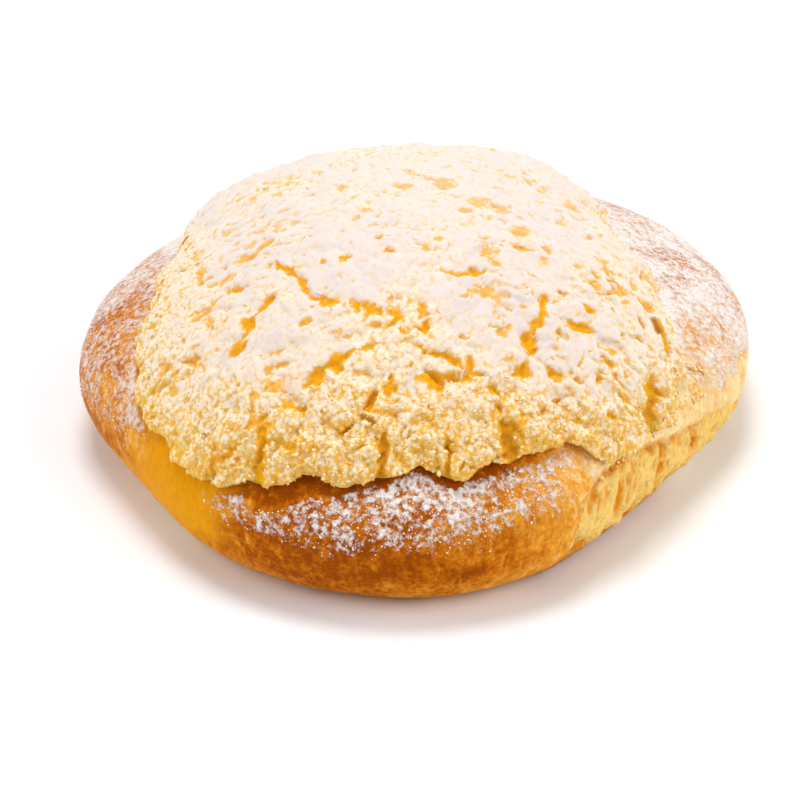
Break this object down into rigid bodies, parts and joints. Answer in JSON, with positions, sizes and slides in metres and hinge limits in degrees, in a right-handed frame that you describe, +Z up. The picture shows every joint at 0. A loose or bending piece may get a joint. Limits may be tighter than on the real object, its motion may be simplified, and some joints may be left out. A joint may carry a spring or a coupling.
{
  "type": "coconut-topped sweet bun",
  "caption": "Soft round sweet bun with flat sides where it rose against its neighbours, under a thick cracked coconut crumb crust dusted with icing sugar.",
  "frame": {"origin": "on the surface that the bun rests on, under the middle of its bounding box", "axes": "+Z up, +Y towards the back, away from the side with the straight topping edge, +X to the right, towards the torn side's far end"},
  "size_m": [0.1198, 0.1146, 0.0499],
  "materials": {
    "crust": "golden-brown baked crust, satin, with fine wrinkles and a pale torn side",
    "coconut_crumb": "pale yellow baked coconut crumb, rough and granular",
    "icing_sugar": "white powder, matte"
  },
  "bodies": {
    "root": {"bun": "crust", "coconut_topping": "coconut_crumb"}
  },
  "joints": []
}
